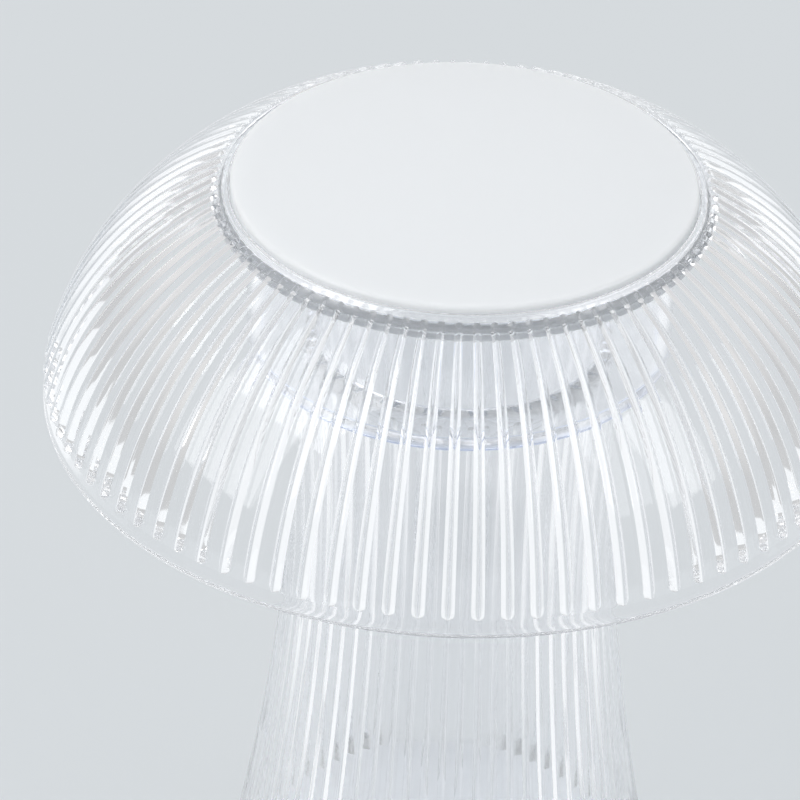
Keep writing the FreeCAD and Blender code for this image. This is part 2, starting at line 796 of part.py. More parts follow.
def ledBoard():
    board = doc.addObject("Part::Prism", "led_board")
    board.Label = "led_board"
    board.Polygon = 6
    board.setExpression("Circumradius", sheetRef("led_board_radius"))
    board.setExpression("Height", sheetRef("led_board_thickness"))
    board.setExpression("Placement.Base.z", sheetRef("base_top"))
    return board


def ledEmitters():
    body = newBody("led_emitters")
    bounds = ("led_left", "led_right", "led_near", "led_far")
    package = block(body, "led_package", "led_board_top", bounds, "led_height")
    polar(body, package, "led_count")
    return body


def ledDiffuser():
    body = newBody("led_diffuser")
    disc(body, "diffuser_plate", "stem_ring_top", "diffuser_radius", "diffuser_thickness")
    return body


# ---------------------------------------------------------------- assembly

plainBlocks = {
    "ballast_plate": (
        "cover_top", ("ballast_left", "ballast_right", "ballast_front", "ballast_rear"),
        "ballast_thickness",
    ),
    "battery_cell": (
        "tray_top", ("battery_left", "battery_right", "battery_front", "battery_rear"),
        "battery_thickness",
    ),
    "battery_foam": (
        "battery_top", ("foam_left", "foam_right", "foam_front", "foam_rear"), "foam_thickness"
    ),
    "control_board": (
        "board_bottom", ("board_left", "board_right", "board_front", "board_rear"), "board_thickness"
    ),
    "control_chip": (
        "board_top", ("chip_left", "chip_right", "chip_front", "chip_rear"), "chip_height"
    ),
}

nodes = [
    shadeDome(),
    shadeCup(),
    topDisc(),
    stemBody(),
    ledDiffuser(),
    ledBoard(),
    ledEmitters(),
    baseHousing(),
    baseCover(),
    basePad(),
    baseScrews(),
    batteryTray(),
    batteryPlug(),
    chargingShell(),
    chargingTongue(),
    buttonSwitch(),
    switchPlunger(),
    powerButton(),
]
nodes += [plainBlock(label, *form) for label, form in plainBlocks.items()]

doc.recompute()

faults = [item.Label for item in doc.Objects if set(item.State) & {"Invalid", "Error"}]
for node in nodes:
    if node.Shape.isNull() or not node.Shape.isValid() or not node.Shape.Solids:
        faults.append(node.Label)
if faults:
    raise SystemExit(f"these pieces didn't build: {faults}")

os.makedirs("parts", exist_ok=True)
for node in nodes:
    node.Shape.exportStep(f"parts/{node.Label}.step")
    print(f"{node.Label}: {len(node.Shape.Solids)} solid(s), {node.Shape.Volume:.0f} mm3")
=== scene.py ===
import math

import bmesh
import bpy
from mathutils import Matrix, Vector


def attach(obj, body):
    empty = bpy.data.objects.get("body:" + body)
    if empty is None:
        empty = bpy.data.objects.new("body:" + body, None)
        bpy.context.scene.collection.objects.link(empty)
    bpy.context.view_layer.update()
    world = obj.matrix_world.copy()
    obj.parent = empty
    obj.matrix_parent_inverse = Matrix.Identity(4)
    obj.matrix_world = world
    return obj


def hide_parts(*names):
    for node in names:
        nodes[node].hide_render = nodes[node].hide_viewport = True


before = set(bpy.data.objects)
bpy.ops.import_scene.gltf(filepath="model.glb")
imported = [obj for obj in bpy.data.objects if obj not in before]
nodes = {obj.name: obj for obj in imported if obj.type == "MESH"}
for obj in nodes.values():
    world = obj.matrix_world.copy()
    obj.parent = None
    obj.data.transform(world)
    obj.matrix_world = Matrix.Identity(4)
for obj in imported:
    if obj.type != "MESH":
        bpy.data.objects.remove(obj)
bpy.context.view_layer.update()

mm = 0.001
print("frame loaded with", len(nodes), "nodes")


# ---- small helpers for working by hand in edit mode

def deselectAll():
    if bpy.context.object and bpy.context.object.mode != "OBJECT":
        bpy.ops.object.mode_set(mode="OBJECT")
    bpy.ops.object.select_all(action="DESELECT")


def openMesh(piece):
    deselectAll()
    piece.select_set(True)
    bpy.context.view_layer.objects.active = piece
    bpy.ops.object.mode_set(mode="EDIT")
    bpy.ops.mesh.select_mode(type="VERT")
    bpy.ops.mesh.select_all(action="SELECT")


def pickPoints(piece, wanted):
    mesh = bmesh.from_edit_mesh(piece.data)
    for point in mesh.verts:
        point.select_set(False)
    mesh.select_flush(False)
    for point in mesh.verts:
        if wanted(point.co):
            point.select_set(True)
    mesh.select_flush(True)
    bmesh.update_edit_mesh(piece.data)


def moveBy(across, out, up):
    bpy.ops.transform.translate(value=(across * mm, out * mm, up * mm))


def turnUp(angle, centre):
    # with no window the operator turns the other way, so the angle is given negative
    bpy.ops.transform.rotate(
        value=-angle, orient_axis="X", orient_type="GLOBAL", center_override=centre
    )


def scaleAbout(factor, centre):
    bpy.ops.transform.resize(value=(factor, factor, factor), center_override=centre)


def startPoint(name, radius, height):
    deselectAll()
    bpy.ops.mesh.primitive_plane_add(size=2 * mm)
    piece = bpy.context.object
    piece.name = piece.data.name = name
    openMesh(piece)
    bpy.ops.mesh.merge(type="CENTER")
    moveBy(radius, 0, height)
    return piece


def closeUp(piece, smoothAngle=35):
    bpy.ops.mesh.select_all(action="SELECT")
    bpy.ops.mesh.remove_doubles(threshold=0.002 * mm)
    bpy.ops.mesh.normals_make_consistent(inside=False)
    bpy.ops.object.mode_set(mode="OBJECT")
    bpy.ops.object.shade_smooth_by_angle(angle=math.radians(smoothAngle))
    print(piece.name, "has", len(piece.data.polygons), "faces")
    return piece


def turnPiece(name, outline, steps=144, smoothAngle=35):
    # outline: radius, height and rounding of each corner, in millimetres
    piece = startPoint(name, outline[0][0], outline[0][1])
    for before, after in zip(outline, outline[1:]):
        step = ((after[0] - before[0]) * mm, 0, (after[1] - before[1]) * mm)
        bpy.ops.mesh.extrude_vertices_move(TRANSFORM_OT_translate={"value": step})
    for radius, height, rounding in outline:
        if rounding:
            spot = Vector((radius * mm, 0, height * mm))
            pickPoints(piece, lambda place: (place - spot).length < 0.01 * mm)
            bpy.ops.mesh.bevel(
                offset=rounding * mm, offset_type="OFFSET", segments=4, affect="VERTICES"
            )
    bpy.ops.mesh.select_all(action="SELECT")
    bpy.ops.mesh.spin(steps=steps, angle=2 * math.pi, center=(0, 0, 0), axis=(0, 0, 1))
    return closeUp(piece, smoothAngle)


# ---- ribbed walls: one rib is swept along the wall, then repeated all round

# how far the half circle's points are pulled in at three heights, for nearly straight flanks
ribFlank = [(0.383, 0.78), (0.707, 0.62), (0.924, 0.6)]


def ribSection(name, wall, station):
    # a rib with a rounded crest between two stretches of the smooth band, one pitch wide
    radius, height, lean = station[:3]
    halfPitch = radius * math.tan(math.pi / wall["ribs"])
    halfRib = halfPitch * wall["ribWidth"]
    rise = radius * wall["ribRise"]
    deselectAll()
    bpy.ops.mesh.primitive_circle_add(vertices=16, radius=halfRib * mm)
    piece = bpy.context.object
    piece.name = piece.data.name = name
    openMesh(piece)
    pickPoints(piece, lambda place: place.y < -0.01 * mm)
    bpy.ops.mesh.delete(type="VERT")
    bpy.ops.mesh.select_all(action="SELECT")
    bpy.ops.transform.resize(value=(1, rise / halfRib, 1), center_override=(0, 0, 0))
    for level, share in ribFlank:
        pickPoints(piece, lambda place: abs(place.y / rise / mm - level) < 0.02)
        bpy.ops.transform.resize(value=(share, 1, 1), center_override=(0, 0, 0))
    for side in (-1, 1):
        pickPoints(piece, lambda place: place.x * side > (halfRib - 0.01) * mm)
        step = (side * (halfPitch - halfRib) * mm, 0, 0)
        bpy.ops.mesh.extrude_vertices_move(TRANSFORM_OT_translate={"value": step})
    bpy.ops.mesh.select_all(action="SELECT")
    turnUp(lean, (0, 0, 0))
    moveBy(0, radius, height)
    return piece


def atStation(station, reach):
    # the points of one ring lie in a thin slice across the wall
    radius, height, lean = station[:3]
    along = Vector((0, -math.sin(lean), math.cos(lean)))
    spot = Vector((0, radius * mm, height * mm))

    def wanted(place):
        return abs((place - spot).dot(along)) < 0.004 * mm and (place - spot).length < reach * mm

    return wanted


def sweepRib(piece, stations):
    for before, after in zip(stations, stations[1:]):
        step = (0, (after[0] - before[0]) * mm, (after[1] - before[1]) * mm)
        bpy.ops.mesh.extrude_region_move(TRANSFORM_OT_translate={"value": step})
        centre = (0, after[0] * mm, after[1] * mm)
        if abs(after[2] - before[2]) > 0.00001:
            turnUp(after[2] - before[2], centre)
        scaleAbout(after[0] / before[0], centre)
        if after[3] != before[3]:
            swellRib(piece, centre, after[3] / before[3])


def swellRib(piece, centre, factor):
    # the two outermost points stay on the neighbours' edges
    mesh = bmesh.from_edit_mesh(piece.data)
    ring = [point for point in mesh.verts if point.select]
    edge = max(abs(point.co.x) for point in ring)
    ends = [point for point in ring if abs(point.co.x) > edge - 0.01 * mm]
    for point in ends:
        point.select_set(False)
    mesh.select_flush_mode()
    bmesh.update_edit_mesh(piece.data)
    if factor > 0:
        scaleAbout(factor, centre)
    else:
        bpy.ops.mesh.merge(type="CENTER")
        mesh = bmesh.from_edit_mesh(piece.data)
        nub = [point for point in mesh.verts if point.select][0]
        nub.co = Vector(centre)
        bmesh.update_edit_mesh(piece.data)
    mesh = bmesh.from_edit_mesh(piece.data)
    for point in ends:
        if point.is_valid:
            point.select_set(True)
    mesh.select_flush(True)
    bmesh.update_edit_mesh(piece.data)


def sweepBand(outline):
    # past a rib's tip only the smooth wall goes on
    for before, after in zip(outline, outline[1:]):
        step = (0, (after[0] - before[0]) * mm, (after[1] - before[1]) * mm)
        bpy.ops.mesh.extrude_region_move(TRANSFORM_OT_translate={"value": step})
        centre = (0, after[0] * mm, after[1] * mm)
        bpy.ops.transform.resize(value=(after[0] / before[0], 1, 1), center_override=centre)


def repeatAround(count):
    bpy.ops.mesh.select_all(action="SELECT")
    turn = 2 * math.pi * (count - 1) / count
    bpy.ops.mesh.spin(
        steps=count - 1, angle=turn, dupli=True, center=(0, 0, 0), axis=(0, 0, 1)
    )


def arcThrough(first, last, radius, side):
    # centre of the arc between two points of an outline
    chord = Vector(last) - Vector(first)
    middle = (Vector(first) + Vector(last)) / 2
    across = Vector((-chord.y, chord.x)).normalized() * side
    return middle + across * math.sqrt(radius ** 2 - (chord.length / 2) ** 2)


def arcPlaces(first, last, radius, side, count):
    centre = arcThrough(first, last, radius, side)
    start = math.atan2(first[1] - centre.y, first[0] - centre.x)
    end = math.atan2(last[1] - centre.y, last[0] - centre.x)
    if end - start > math.pi:
        end -= 2 * math.pi
    if start - end > math.pi:
        end += 2 * math.pi
    angles = [start + (end - start) * index / count for index in range(count + 1)]
    return [
        (centre.x + radius * math.cos(angle), centre.y + radius * math.sin(angle))
        for angle in angles
    ]


def ribStations(wall, start, end, count):
    # stations on the band, from one rib tip to the other, start and end as shares of the arc
    centre = arcThrough(wall["crestTop"], wall["crestEnd"], wall["crestArc"], wall["side"])
    outward = 1 if wall["side"] < 0 else -1
    top = Vector(wall["crestTop"]) - centre
    foot = Vector(wall["crestEnd"]) - centre
    topAngle = math.atan2(top.y, top.x)
    footAngle = math.atan2(foot.y, foot.x)
    if footAngle - topAngle > math.pi:
        footAngle -= 2 * math.pi
    if topAngle - footAngle > math.pi:
        footAngle += 2 * math.pi
    stations = []
    for index in range(count + 1):
        share = start + (end - start) * index / count
        angle = topAngle + (footAngle - topAngle) * share
        normal = Vector((math.cos(angle), math.sin(angle))) * outward
        crest = centre + Vector((math.cos(angle), math.sin(angle))) * wall["crestArc"]
        band = crest - normal * crest.x * wall["ribRise"]
        lean = math.atan2(normal.y, normal.x)
        stations.append((band.x, band.y, lean, 1.0))
    return stations


def roundedTip(wall, station, towards):
    # the rib narrows to a half-round tip, a little further along the wall
    radius, height, lean = station[:3]
    length = radius * math.tan(math.pi / wall["ribs"]) * wall["ribWidth"] * wall["tipLength"]
    tip = [station]
    for degrees in (25, 45, 62, 76, 86, 90):
        along = length * math.sin(math.radians(degrees)) * towards
        size = math.cos(math.radians(degrees)) if degrees < 90 else 0.0
        tip.append((
            radius - math.sin(lean) * along,
            height + math.cos(lean) * along,
            lean,
            size,
        ))
    return tip


dome = {
    "ribs": 92,
    "ribWidth": 0.45,  # share of the pitch
    "ribRise": 0.0157,  # share of the radius, about half round
    "tipLength": 1.0,
    "crestTop": (50.8, 210.6),
    "crestEnd": (87.0, 164.3),
    "crestArc": 70.5,
    "side": -1,
    "stations": 34,
    "outside": [(86.35, 162.1), (86.78, 160.4), (86.68, 160.08), (86.35, 159.9)],
    "rim": [(85.2, 159.9), (84.9, 160.05), (84.8, 160.4)],
    "insideTop": (51.9, 207.3),
    "insideArc": 68.5,
    "insideStations": 22,
    "seat": [(51.6, 207.5), (48.5, 207.5), (48.3, 207.7), (48.3, 210.3), (48.5, 210.55), (49.5, 210.6)],
}


def makeDome():
    ribs = ribStations(dome, 0.012, 0.985, dome["stations"])
    middle = ribs[0]
    piece = ribSection("ribbedShade", dome, middle)
    sweepRib(piece, ribs)
    sweepRib(piece, roundedTip(dome, ribs[-1], -1))
    last = roundedTip(dome, ribs[-1], -1)[-1][:2]
    inside = arcPlaces(
        dome["rim"][-1], dome["insideTop"], dome["insideArc"], 1, dome["insideStations"]
    )
    first = roundedTip(dome, middle, 1)[-1][:2]
    sweepBand([last] + dome["outside"] + dome["rim"] + inside[1:] + dome["seat"] + [first])
    pickPoints(piece, atStation(middle, 6))
    sweepRib(piece, roundedTip(dome, middle, 1))
    repeatAround(dome["ribs"])
    return closeUp(piece, 40)


stem = {
    "ribs": 64,
    "ribWidth": 0.45,
    "ribRise": 0.016,
    "tipLength": 1.0,
    "crestTop": (32.9, 174.4),
    "crestEnd": (49.8, 22.0),
    "crestArc": 700.0,
    "side": 1,
    "stations": 30,
    "foot": [(49.05, 22.6), (48.9, 22.15), (48.5, 22.0), (42.3, 22.0), (42.0, 22.3), (42.0, 29.8), (42.2, 30.0), (44.6, 30.0)],
    "insideTop": (29.87, 174.1),
    "insideArc": 700.0,
    "insideStations": 20,
    "neck": [(30.1, 174.4), (32.1, 174.4), (32.35, 174.15)],
    "screwCircle": 44.5,
    "screwHole": 1.5,
    "screwHoleTop": 29.0,
}


def makeStem():
    ribs = ribStations(stem, 0.022, 0.978, stem["stations"])
    middle = ribs[0]
    piece = ribSection("ribbedStem", stem, middle)
    sweepRib(piece, ribs)
    sweepRib(piece, roundedTip(stem, ribs[-1], -1))
    last = roundedTip(stem, ribs[-1], -1)[-1][:2]
    inside = arcPlaces(
        stem["foot"][-1], stem["insideTop"], stem["insideArc"], -1, stem["insideStations"]
    )
    first = roundedTip(stem, middle, 1)[-1][:2]
    sweepBand([last] + stem["foot"] + inside[1:] + stem["neck"] + [first])
    pickPoints(piece, atStation(middle, 6))
    sweepRib(piece, roundedTip(stem, middle, 1))
    repeatAround(stem["ribs"])
    closeUp(piece, 40)
    drillScrewHoles(piece)
    return piece


def drillScrewHoles(piece):
    depth = stem["screwHoleTop"] - 20
    for turn in (-90, 30, 150):
        deselectAll()
        angle = math.radians(turn)
        bpy.ops.mesh.primitive_cylinder_add(
            vertices=32,
            radius=stem["screwHole"] * mm,
            depth=depth * mm,
            location=(
                stem["screwCircle"] * math.cos(angle) * mm,
                stem["screwCircle"] * math.sin(angle) * mm,
                (20 + depth / 2) * mm,
            ),
        )
        drill = bpy.context.object
        cutAway(piece, drill)


def cutAway(piece, tool):
    deselectAll()
    piece.select_set(True)
    bpy.context.view_layer.objects.active = piece
    cut = piece.modifiers.new("cut", "BOOLEAN")
    cut.operation = "DIFFERENCE"
    cut.solver = "EXACT"
    cut.object = tool
    bpy.ops.object.modifier_apply(modifier=cut.name)
    bpy.data.objects.remove(tool, do_unlink=True)


# ---- turned pieces

cup = {
    "outline": [
        (0, 171.4, 0), (29.47, 171.4, 0.5), (29.47, 174.4, 0), (44.3, 174.4, 1.2),
        (44.3, 205.3, 0.4), (51.0, 205.3, 0.4), (51.0, 207.5, 0.2), (42.2, 207.5, 0.4),
        (42.2, 176.6, 1.0), (0, 176.6, 0),
    ],
}

disc = {
    "outline": [
        (0, 207.5, 0), (48.0, 207.5, 0.4), (48.0, 212.0, 0.9), (0, 212.0, 0),
    ],
}

diffuser = {
    "outline": [
        (0, 30.0, 0), (43.8, 30.0, 0.3), (43.8, 32.0, 0.5), (0, 32.0, 0),
    ],
}


def polishedCopy(node, rounding, name, sharp=40, segments=3):
    # the moulded piece itself, with its doubles merged and its edges broken
    mesh = nodes[node].data.copy()
    piece = bpy.data.objects.new(name, mesh)
    piece.data.name = name
    piece.data.materials.clear()
    bpy.context.scene.collection.objects.link(piece)
    openMesh(piece)
    bpy.ops.mesh.remove_doubles(threshold=0.001 * mm)
    bpy.ops.mesh.dissolve_limited(angle_limit=math.radians(0.5))
    bpy.ops.mesh.select_mode(type="EDGE")
    bpy.ops.mesh.select_all(action="DESELECT")
    bpy.ops.mesh.edges_select_sharp(sharpness=math.radians(sharp))
    bpy.ops.mesh.bevel(
        offset=rounding * mm, segments=segments, affect="EDGES", clamp_overlap=True
    )
    bpy.ops.mesh.select_all(action="SELECT")
    bpy.ops.object.mode_set(mode="OBJECT")
    bpy.ops.object.shade_smooth_by_angle(angle=math.radians(35))
    print(name, "has", len(piece.data.polygons), "faces")
    return piece


# ---- finishes: groups shared by the materials

def newGroup(name, inputs, outputs):
    group = bpy.data.node_groups.new(name, "ShaderNodeTree")
    for label, kind, usual in inputs:
        socket = group.interface.new_socket(label, in_out="INPUT", socket_type=kind)
        socket.default_value = usual
    for label, kind in outputs:
        group.interface.new_socket(label, in_out="OUTPUT", socket_type=kind)
    start = group.nodes.new("NodeGroupInput")
    end = group.nodes.new("NodeGroupOutput")
    return group, start, end


def noiseNode(tree, vector, scale, detail=3, roughness=0.5):
    noise = tree.nodes.new("ShaderNodeTexNoise")
    noise.inputs["Detail"].default_value = detail
    noise.inputs["Roughness"].default_value = roughness
    tree.links.new(vector, noise.inputs["Vector"])
    if isinstance(scale, (int, float)):
        noise.inputs["Scale"].default_value = scale
    else:
        tree.links.new(scale, noise.inputs["Scale"])
    return noise


def mathNode(tree, operation, first, second=None):
    node = tree.nodes.new("ShaderNodeMath")
    node.operation = operation
    for socket, given in zip(node.inputs, (first, second)):
        if given is None:
            continue
        if isinstance(given, (int, float)):
            socket.default_value = given
        else:
            tree.links.new(given, socket)
    return node.outputs[0]


def spread(tree, value, low, high, newLow, newHigh):
    node = tree.nodes.new("ShaderNodeMapRange")
    node.inputs["From Min"].default_value = low
    node.inputs["From Max"].default_value = high
    for label, given in (("To Min", newLow), ("To Max", newHigh)):
        if isinstance(given, (int, float)):
            node.inputs[label].default_value = given
        else:
            tree.links.new(given, node.inputs[label])
    tree.links.new(value, node.inputs["Value"])
    return node.outputs["Result"]


def makeHandledGroup():
    # soft variation of gloss from wiping and handling
    group, start, end = newGroup(
        "handledSurface",
        [("Scale", "NodeSocketFloat", 30.0), ("Smoothest", "NodeSocketFloat", 0.1),
         ("Roughest", "NodeSocketFloat", 0.2)],
        [("Roughness", "NodeSocketFloat"), ("Smudge", "NodeSocketFloat")],
    )
    place = group.nodes.new("ShaderNodeTexCoord").outputs["Object"]
    broad = noiseNode(group, place, start.outputs["Scale"], 4, 0.6)
    rough = spread(
        group, broad.outputs["Fac"], 0.35, 0.7, start.outputs["Smoothest"], start.outputs["Roughest"]
    )
    group.links.new(rough, end.inputs["Roughness"])
    group.links.new(broad.outputs["Fac"], end.inputs["Smudge"])
    return group


def makeGrainGroup():
    # fine spark-eroded grain of a moulding tool
    group, start, end = newGroup(
        "mouldGrain",
        [("Scale", "NodeSocketFloat", 2500.0), ("Depth", "NodeSocketFloat", 0.2)],
        [("Height", "NodeSocketFloat")],
    )
    place = group.nodes.new("ShaderNodeTexCoord").outputs["Object"]
    fine = noiseNode(group, place, start.outputs["Scale"], 2, 0.5)
    cells = group.nodes.new("ShaderNodeTexVoronoi")
    group.links.new(place, cells.inputs["Vector"])
    group.links.new(start.outputs["Scale"], cells.inputs["Scale"])
    both = mathNode(group, "ADD", fine.outputs["Fac"], cells.outputs["Distance"])
    height = mathNode(group, "MULTIPLY", both, start.outputs["Depth"])
    group.links.new(height, end.inputs["Height"])
    return group


def makeFlowGroup():
    # the faint waves that flow leaves in a clear moulding
    group, start, end = newGroup(
        "mouldFlow",
        [("Scale", "NodeSocketFloat", 60.0), ("Depth", "NodeSocketFloat", 0.3)],
        [("Height", "NodeSocketFloat")],
    )
    place = group.nodes.new("ShaderNodeTexCoord").outputs["Object"]
    turned = group.nodes.new("ShaderNodeMapping")
    turned.inputs["Scale"].default_value = (1.0, 1.0, 0.25)
    group.links.new(place, turned.inputs["Vector"])
    waves = noiseNode(group, turned.outputs["Vector"], start.outputs["Scale"], 2, 0.45)
    height = mathNode(group, "MULTIPLY", waves.outputs["Fac"], start.outputs["Depth"])
    group.links.new(height, end.inputs["Height"])
    return group


def makeDustGroup():
    # a little dust on what faces up
    group, start, end = newGroup(
        "settledDust",
        [("Amount", "NodeSocketFloat", 0.1), ("Scale", "NodeSocketFloat", 400.0)],
        [("Mask", "NodeSocketFloat")],
    )
    around = group.nodes.new("ShaderNodeTexCoord")
    geometry = group.nodes.new("ShaderNodeNewGeometry")
    facing = group.nodes.new("ShaderNodeSeparateXYZ")
    group.links.new(geometry.outputs["Normal"], facing.inputs["Vector"])
    up = spread(group, facing.outputs["Z"], 0.4, 1.0, 0.0, 1.0)
    specks = noiseNode(group, around.outputs["Object"], start.outputs["Scale"], 4, 0.7)
    thin = spread(group, specks.outputs["Fac"], 0.5, 0.75, 0.0, 1.0)
    lying = mathNode(group, "MULTIPLY", up, thin)
    mask = mathNode(group, "MULTIPLY", lying, start.outputs["Amount"])
    group.links.new(mask, end.inputs["Mask"])
    return group


groups = {
    "handled": makeHandledGroup(),
    "grain": makeGrainGroup(),
    "flow": makeFlowGroup(),
    "dust": makeDustGroup(),
}
print("finish groups made")


def startMaterial(name):
    material = bpy.data.materials.new(name)
    material.use_nodes = True
    tree = material.node_tree
    return material, tree, tree.nodes["Principled BSDF"], tree.nodes["Material Output"]


def placeGroup(tree, key, **values):
    node = tree.nodes.new("ShaderNodeGroup")
    node.node_tree = groups[key]
    for label, number in values.items():
        node.inputs[label].default_value = number
    return node


def bumpFrom(tree, shader, height, distance, strength=1.0):
    bump = tree.nodes.new("ShaderNodeBump")
    bump.inputs["Distance"].default_value = distance
    bump.inputs["Strength"].default_value = strength
    tree.links.new(height, bump.inputs["Height"])
    tree.links.new(bump.outputs["Normal"], shader.inputs["Normal"])
    return bump


def mixColours(tree, factor, first, second):
    mix = tree.nodes.new("ShaderNodeMix")
    mix.data_type = "RGBA"
    for socket, given in ((mix.inputs[6], first), (mix.inputs[7], second)):
        if isinstance(given, tuple):
            socket.default_value = (*given, 1.0)
        else:
            tree.links.new(given, socket)
    tree.links.new(factor, mix.inputs[0])
    return mix.outputs[2]


def clearPlastic(name, tint, shadowTint, wave, foot=None):
    material, tree, shader, output = startMaterial(name)
    shader.inputs["Base Color"].default_value = (*tint, 1.0)
    if foot:
        # the cup's lower outer edge is coloured blue, fading in over a few millimetres
        place = tree.nodes.new("ShaderNodeTexCoord").outputs["Object"]
        parts = tree.nodes.new("ShaderNodeSeparateXYZ")
        tree.links.new(place, parts.inputs["Vector"])
        level = tree.nodes.new("ShaderNodeCombineXYZ")
        tree.links.new(parts.outputs["X"], level.inputs["X"])
        tree.links.new(parts.outputs["Y"], level.inputs["Y"])
        away = tree.nodes.new("ShaderNodeVectorMath")
        away.operation = "LENGTH"
        tree.links.new(level.outputs[0], away.inputs[0])
        low = spread(tree, parts.outputs["Z"], foot["bottom"] * mm, foot["top"] * mm, 1.0, 0.0)
        outer = spread(tree, away.outputs["Value"], foot["inner"] * mm, foot["outer"] * mm, 0.0, 1.0)
        edge = mathNode(tree, "MULTIPLY", low, outer)
        tree.links.new(
            mixColours(tree, edge, tint, foot["tint"]), shader.inputs["Base Color"]
        )
    shader.inputs["Transmission Weight"].default_value = 1.0
    shader.inputs["IOR"].default_value = 1.5
    handled = placeGroup(tree, "handled", Scale=35.0, Smoothest=0.015, Roughest=0.06)
    tree.links.new(handled.outputs["Roughness"], shader.inputs["Roughness"])
    flow = placeGroup(tree, "flow", Scale=wave, Depth=0.5)
    bumpFrom(tree, shader, flow.outputs["Height"], 0.0001)
    path = tree.nodes.new("ShaderNodeLightPath")
    passing = tree.nodes.new("ShaderNodeBsdfTransparent")
    passing.inputs["Color"].default_value = (*shadowTint, 1.0)
    mix = tree.nodes.new("ShaderNodeMixShader")
    tree.links.new(path.outputs["Is Shadow Ray"], mix.inputs[0])
    tree.links.new(shader.outputs[0], mix.inputs[1])
    tree.links.new(passing.outputs[0], mix.inputs[2])
    tree.links.new(mix.outputs[0], output.inputs["Surface"])
    return material


def paintedPlastic(name, colour, smudged, smooth, rough, grain, dust=0.15, depth=0.0):
    material, tree, shader, output = startMaterial(name)
    if depth:
        # light soaks in this far, in mm
        shader.inputs["Subsurface Weight"].default_value = 1.0
        shader.inputs["Subsurface Radius"].default_value = (1.0, 1.0, 1.0)
        shader.inputs["Subsurface Scale"].default_value = depth * mm
    handled = placeGroup(tree, "handled", Scale=28.0, Smoothest=smooth, Roughest=rough)
    tree.links.new(handled.outputs["Roughness"], shader.inputs["Roughness"])
    body = mixColours(tree, handled.outputs["Smudge"], colour, smudged)
    lying = placeGroup(tree, "dust", Amount=dust, Scale=350.0)
    dusty = mixColours(tree, lying.outputs["Mask"], body, (0.55, 0.54, 0.52))
    tree.links.new(dusty, shader.inputs["Base Color"])
    fine = placeGroup(tree, "grain", Scale=grain, Depth=0.4)
    bumpFrom(tree, shader, fine.outputs["Height"], 0.00003, 0.5)
    return material


def brushedMetal(name, colour, smooth, rough):
    material, tree, shader, output = startMaterial(name)
    shader.inputs["Metallic"].default_value = 1.0
    place = tree.nodes.new("ShaderNodeTexCoord").outputs["Object"]
    turned = tree.nodes.new("ShaderNodeMapping")
    turned.inputs["Scale"].default_value = (1.0, 1.0, 18.0)
    tree.links.new(place, turned.inputs["Vector"])
    lines = noiseNode(tree, turned.outputs["Vector"], 900.0, 3, 0.6)
    darker = tuple(part * 0.8 for part in colour)
    tree.links.new(
        mixColours(tree, lines.outputs["Fac"], darker, colour), shader.inputs["Base Color"]
    )
    tree.links.new(
        spread(tree, lines.outputs["Fac"], 0.3, 0.7, smooth, rough), shader.inputs["Roughness"]
    )
    bumpFrom(tree, shader, lines.outputs["Fac"], 0.00002, 0.4)
    return material


finishes = {
    "clearShade": clearPlastic("clearShade", (0.985, 0.986, 0.992), (0.9, 0.92, 0.935), 45.0),
    "clearCup": clearPlastic(
        "clearCup", (0.98, 0.985, 0.995), (0.9, 0.92, 0.94), 55.0,
        foot={"bottom": 174.6, "top": 176.8, "inner": 41.8, "outer": 43.4, "tint": (0.5, 0.64, 1.0)},
    ),
    "clearStem": clearPlastic("clearStem", (0.985, 0.986, 0.992), (0.9, 0.92, 0.935), 50.0),
    "whiteDisc": paintedPlastic("whiteDisc", (0.8, 0.808, 0.818), (0.795, 0.803, 0.813), 0.34, 0.37, 2600.0, 0.0, 4.0),
    "whiteBase": paintedPlastic("whiteBase", (0.78, 0.785, 0.79), (0.74, 0.745, 0.75), 0.34, 0.46, 2200.0),
    "opal": paintedPlastic("opal", (0.7, 0.71, 0.73), (0.67, 0.68, 0.7), 0.4, 0.5, 2600.0, 0.05),
    "blackPlastic": paintedPlastic("blackPlastic", (0.03, 0.03, 0.033), (0.045, 0.045, 0.05), 0.4, 0.55, 1800.0),
    "rubber": paintedPlastic("rubber", (0.035, 0.035, 0.037), (0.055, 0.055, 0.058), 0.7, 0.85, 1200.0),
    "foam": paintedPlastic("foam", (0.04, 0.04, 0.043), (0.09, 0.09, 0.095), 0.9, 1.0, 700.0),
    "board": paintedPlastic("board", (0.02, 0.16, 0.06), (0.03, 0.21, 0.08), 0.3, 0.4, 1500.0, 0.0),
    "ledBoard": paintedPlastic("ledBoard", (0.8, 0.81, 0.8), (0.76, 0.77, 0.76), 0.3, 0.4, 1500.0, 0.0),
    "phosphor": paintedPlastic("phosphor", (0.85, 0.6, 0.12), (0.8, 0.52, 0.08), 0.25, 0.35, 3000.0, 0.0),
    "steel": brushedMetal("steel", (0.62, 0.63, 0.65), 0.22, 0.38),
    "ballastSteel": brushedMetal("ballastSteel", (0.42, 0.42, 0.43), 0.35, 0.55),
    "foil": brushedMetal("foil", (0.75, 0.76, 0.78), 0.2, 0.34),
}
print("finishes made")


def wear(piece, finish):
    piece.data.materials.clear()
    piece.data.materials.append(finishes[finish])


def settle(piece, body, finish, slot, *stoodFor):
    wear(piece, finish)
    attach(piece, body)
    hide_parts(*stoodFor)


settle(makeDome(), "lamp", "clearShade", "clear_plastic", "shade_dome")
print("shade made")
settle(makeStem(), "lamp", "clearStem", "clear_plastic", "stem_body")
print("stem made")
settle(turnPiece("clearCup", cup["outline"]), "lamp", "clearCup", "clear_plastic", "shade_cup")
settle(turnPiece("whiteDisc", disc["outline"]), "lamp", "whiteDisc", "white_disc", "top_disc")
settle(turnPiece("opalDiffuser", diffuser["outline"]), "lamp", "opal", "opal_plastic", "led_diffuser")
print("turned pieces made")

